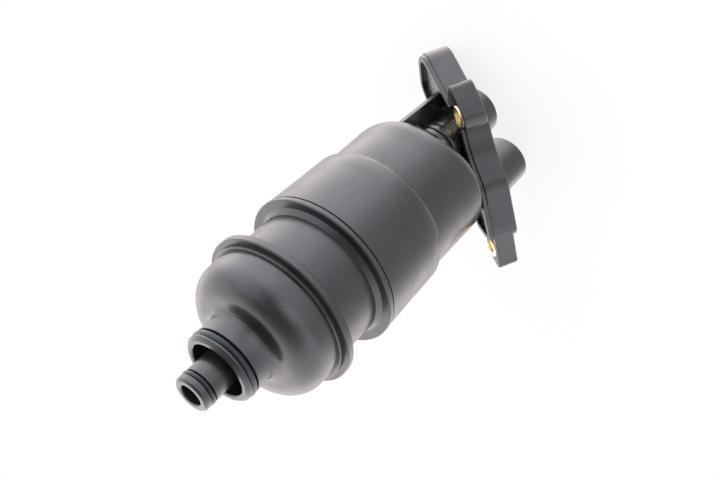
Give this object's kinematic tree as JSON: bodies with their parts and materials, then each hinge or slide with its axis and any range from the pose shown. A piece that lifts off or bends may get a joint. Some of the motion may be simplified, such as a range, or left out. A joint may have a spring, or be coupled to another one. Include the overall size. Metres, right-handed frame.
{
  "type": "automatic transmission fluid filter",
  "caption": "In-line transmission fluid filter: stepped plastic canister with a double nozzle and an inclined mounting flange with two ports and brass bushings.",
  "frame": {"origin": "on the canister's axis, in the plane of the cover's front face at the root of the outer nozzle", "axes": "+Z along the canister and out through the double nozzle; +X towards the side that the mounting face tilts to; +Y completes the right-handed frame"},
  "size_m": [0.0768, 0.0989, 0.2186],
  "materials": {
    "black_plastic": "satin",
    "rubber": "satin",
    "brass": "satin",
    "paper": "matte",
    "steel": "satin"
  },
  "bodies": {
    "housing": {"nozzle_cover": "black_plastic", "middle_body": "black_plastic", "flange_housing": "black_plastic", "transfer_tube": "black_plastic", "inner_nozzle_seal": "rubber", "outer_nozzle_seal": "rubber", "tube_end_seal": "rubber", "cap_grommet": "rubber", "bushing_a": "brass", "bushing_b": "brass", "filter_paper": "paper", "core_cage": "black_plastic", "end_cap_nozzle": "black_plastic", "end_cap_flange": "black_plastic", "valve_spring": "steel", "spring_clip": "steel"},
    "bypass_valve": {"valve_plate": "black_plastic"}
  },
  "joints": [
    {"name": "bypass_lift", "type": "slide", "parent": "housing", "child": "bypass_valve", "axis": [0, 0, 1], "range_m": [0, 0.004], "stiffness_N_per_m": 1500, "springref_m": -0.004, "deforming": ["valve_spring"]}
  ]
}
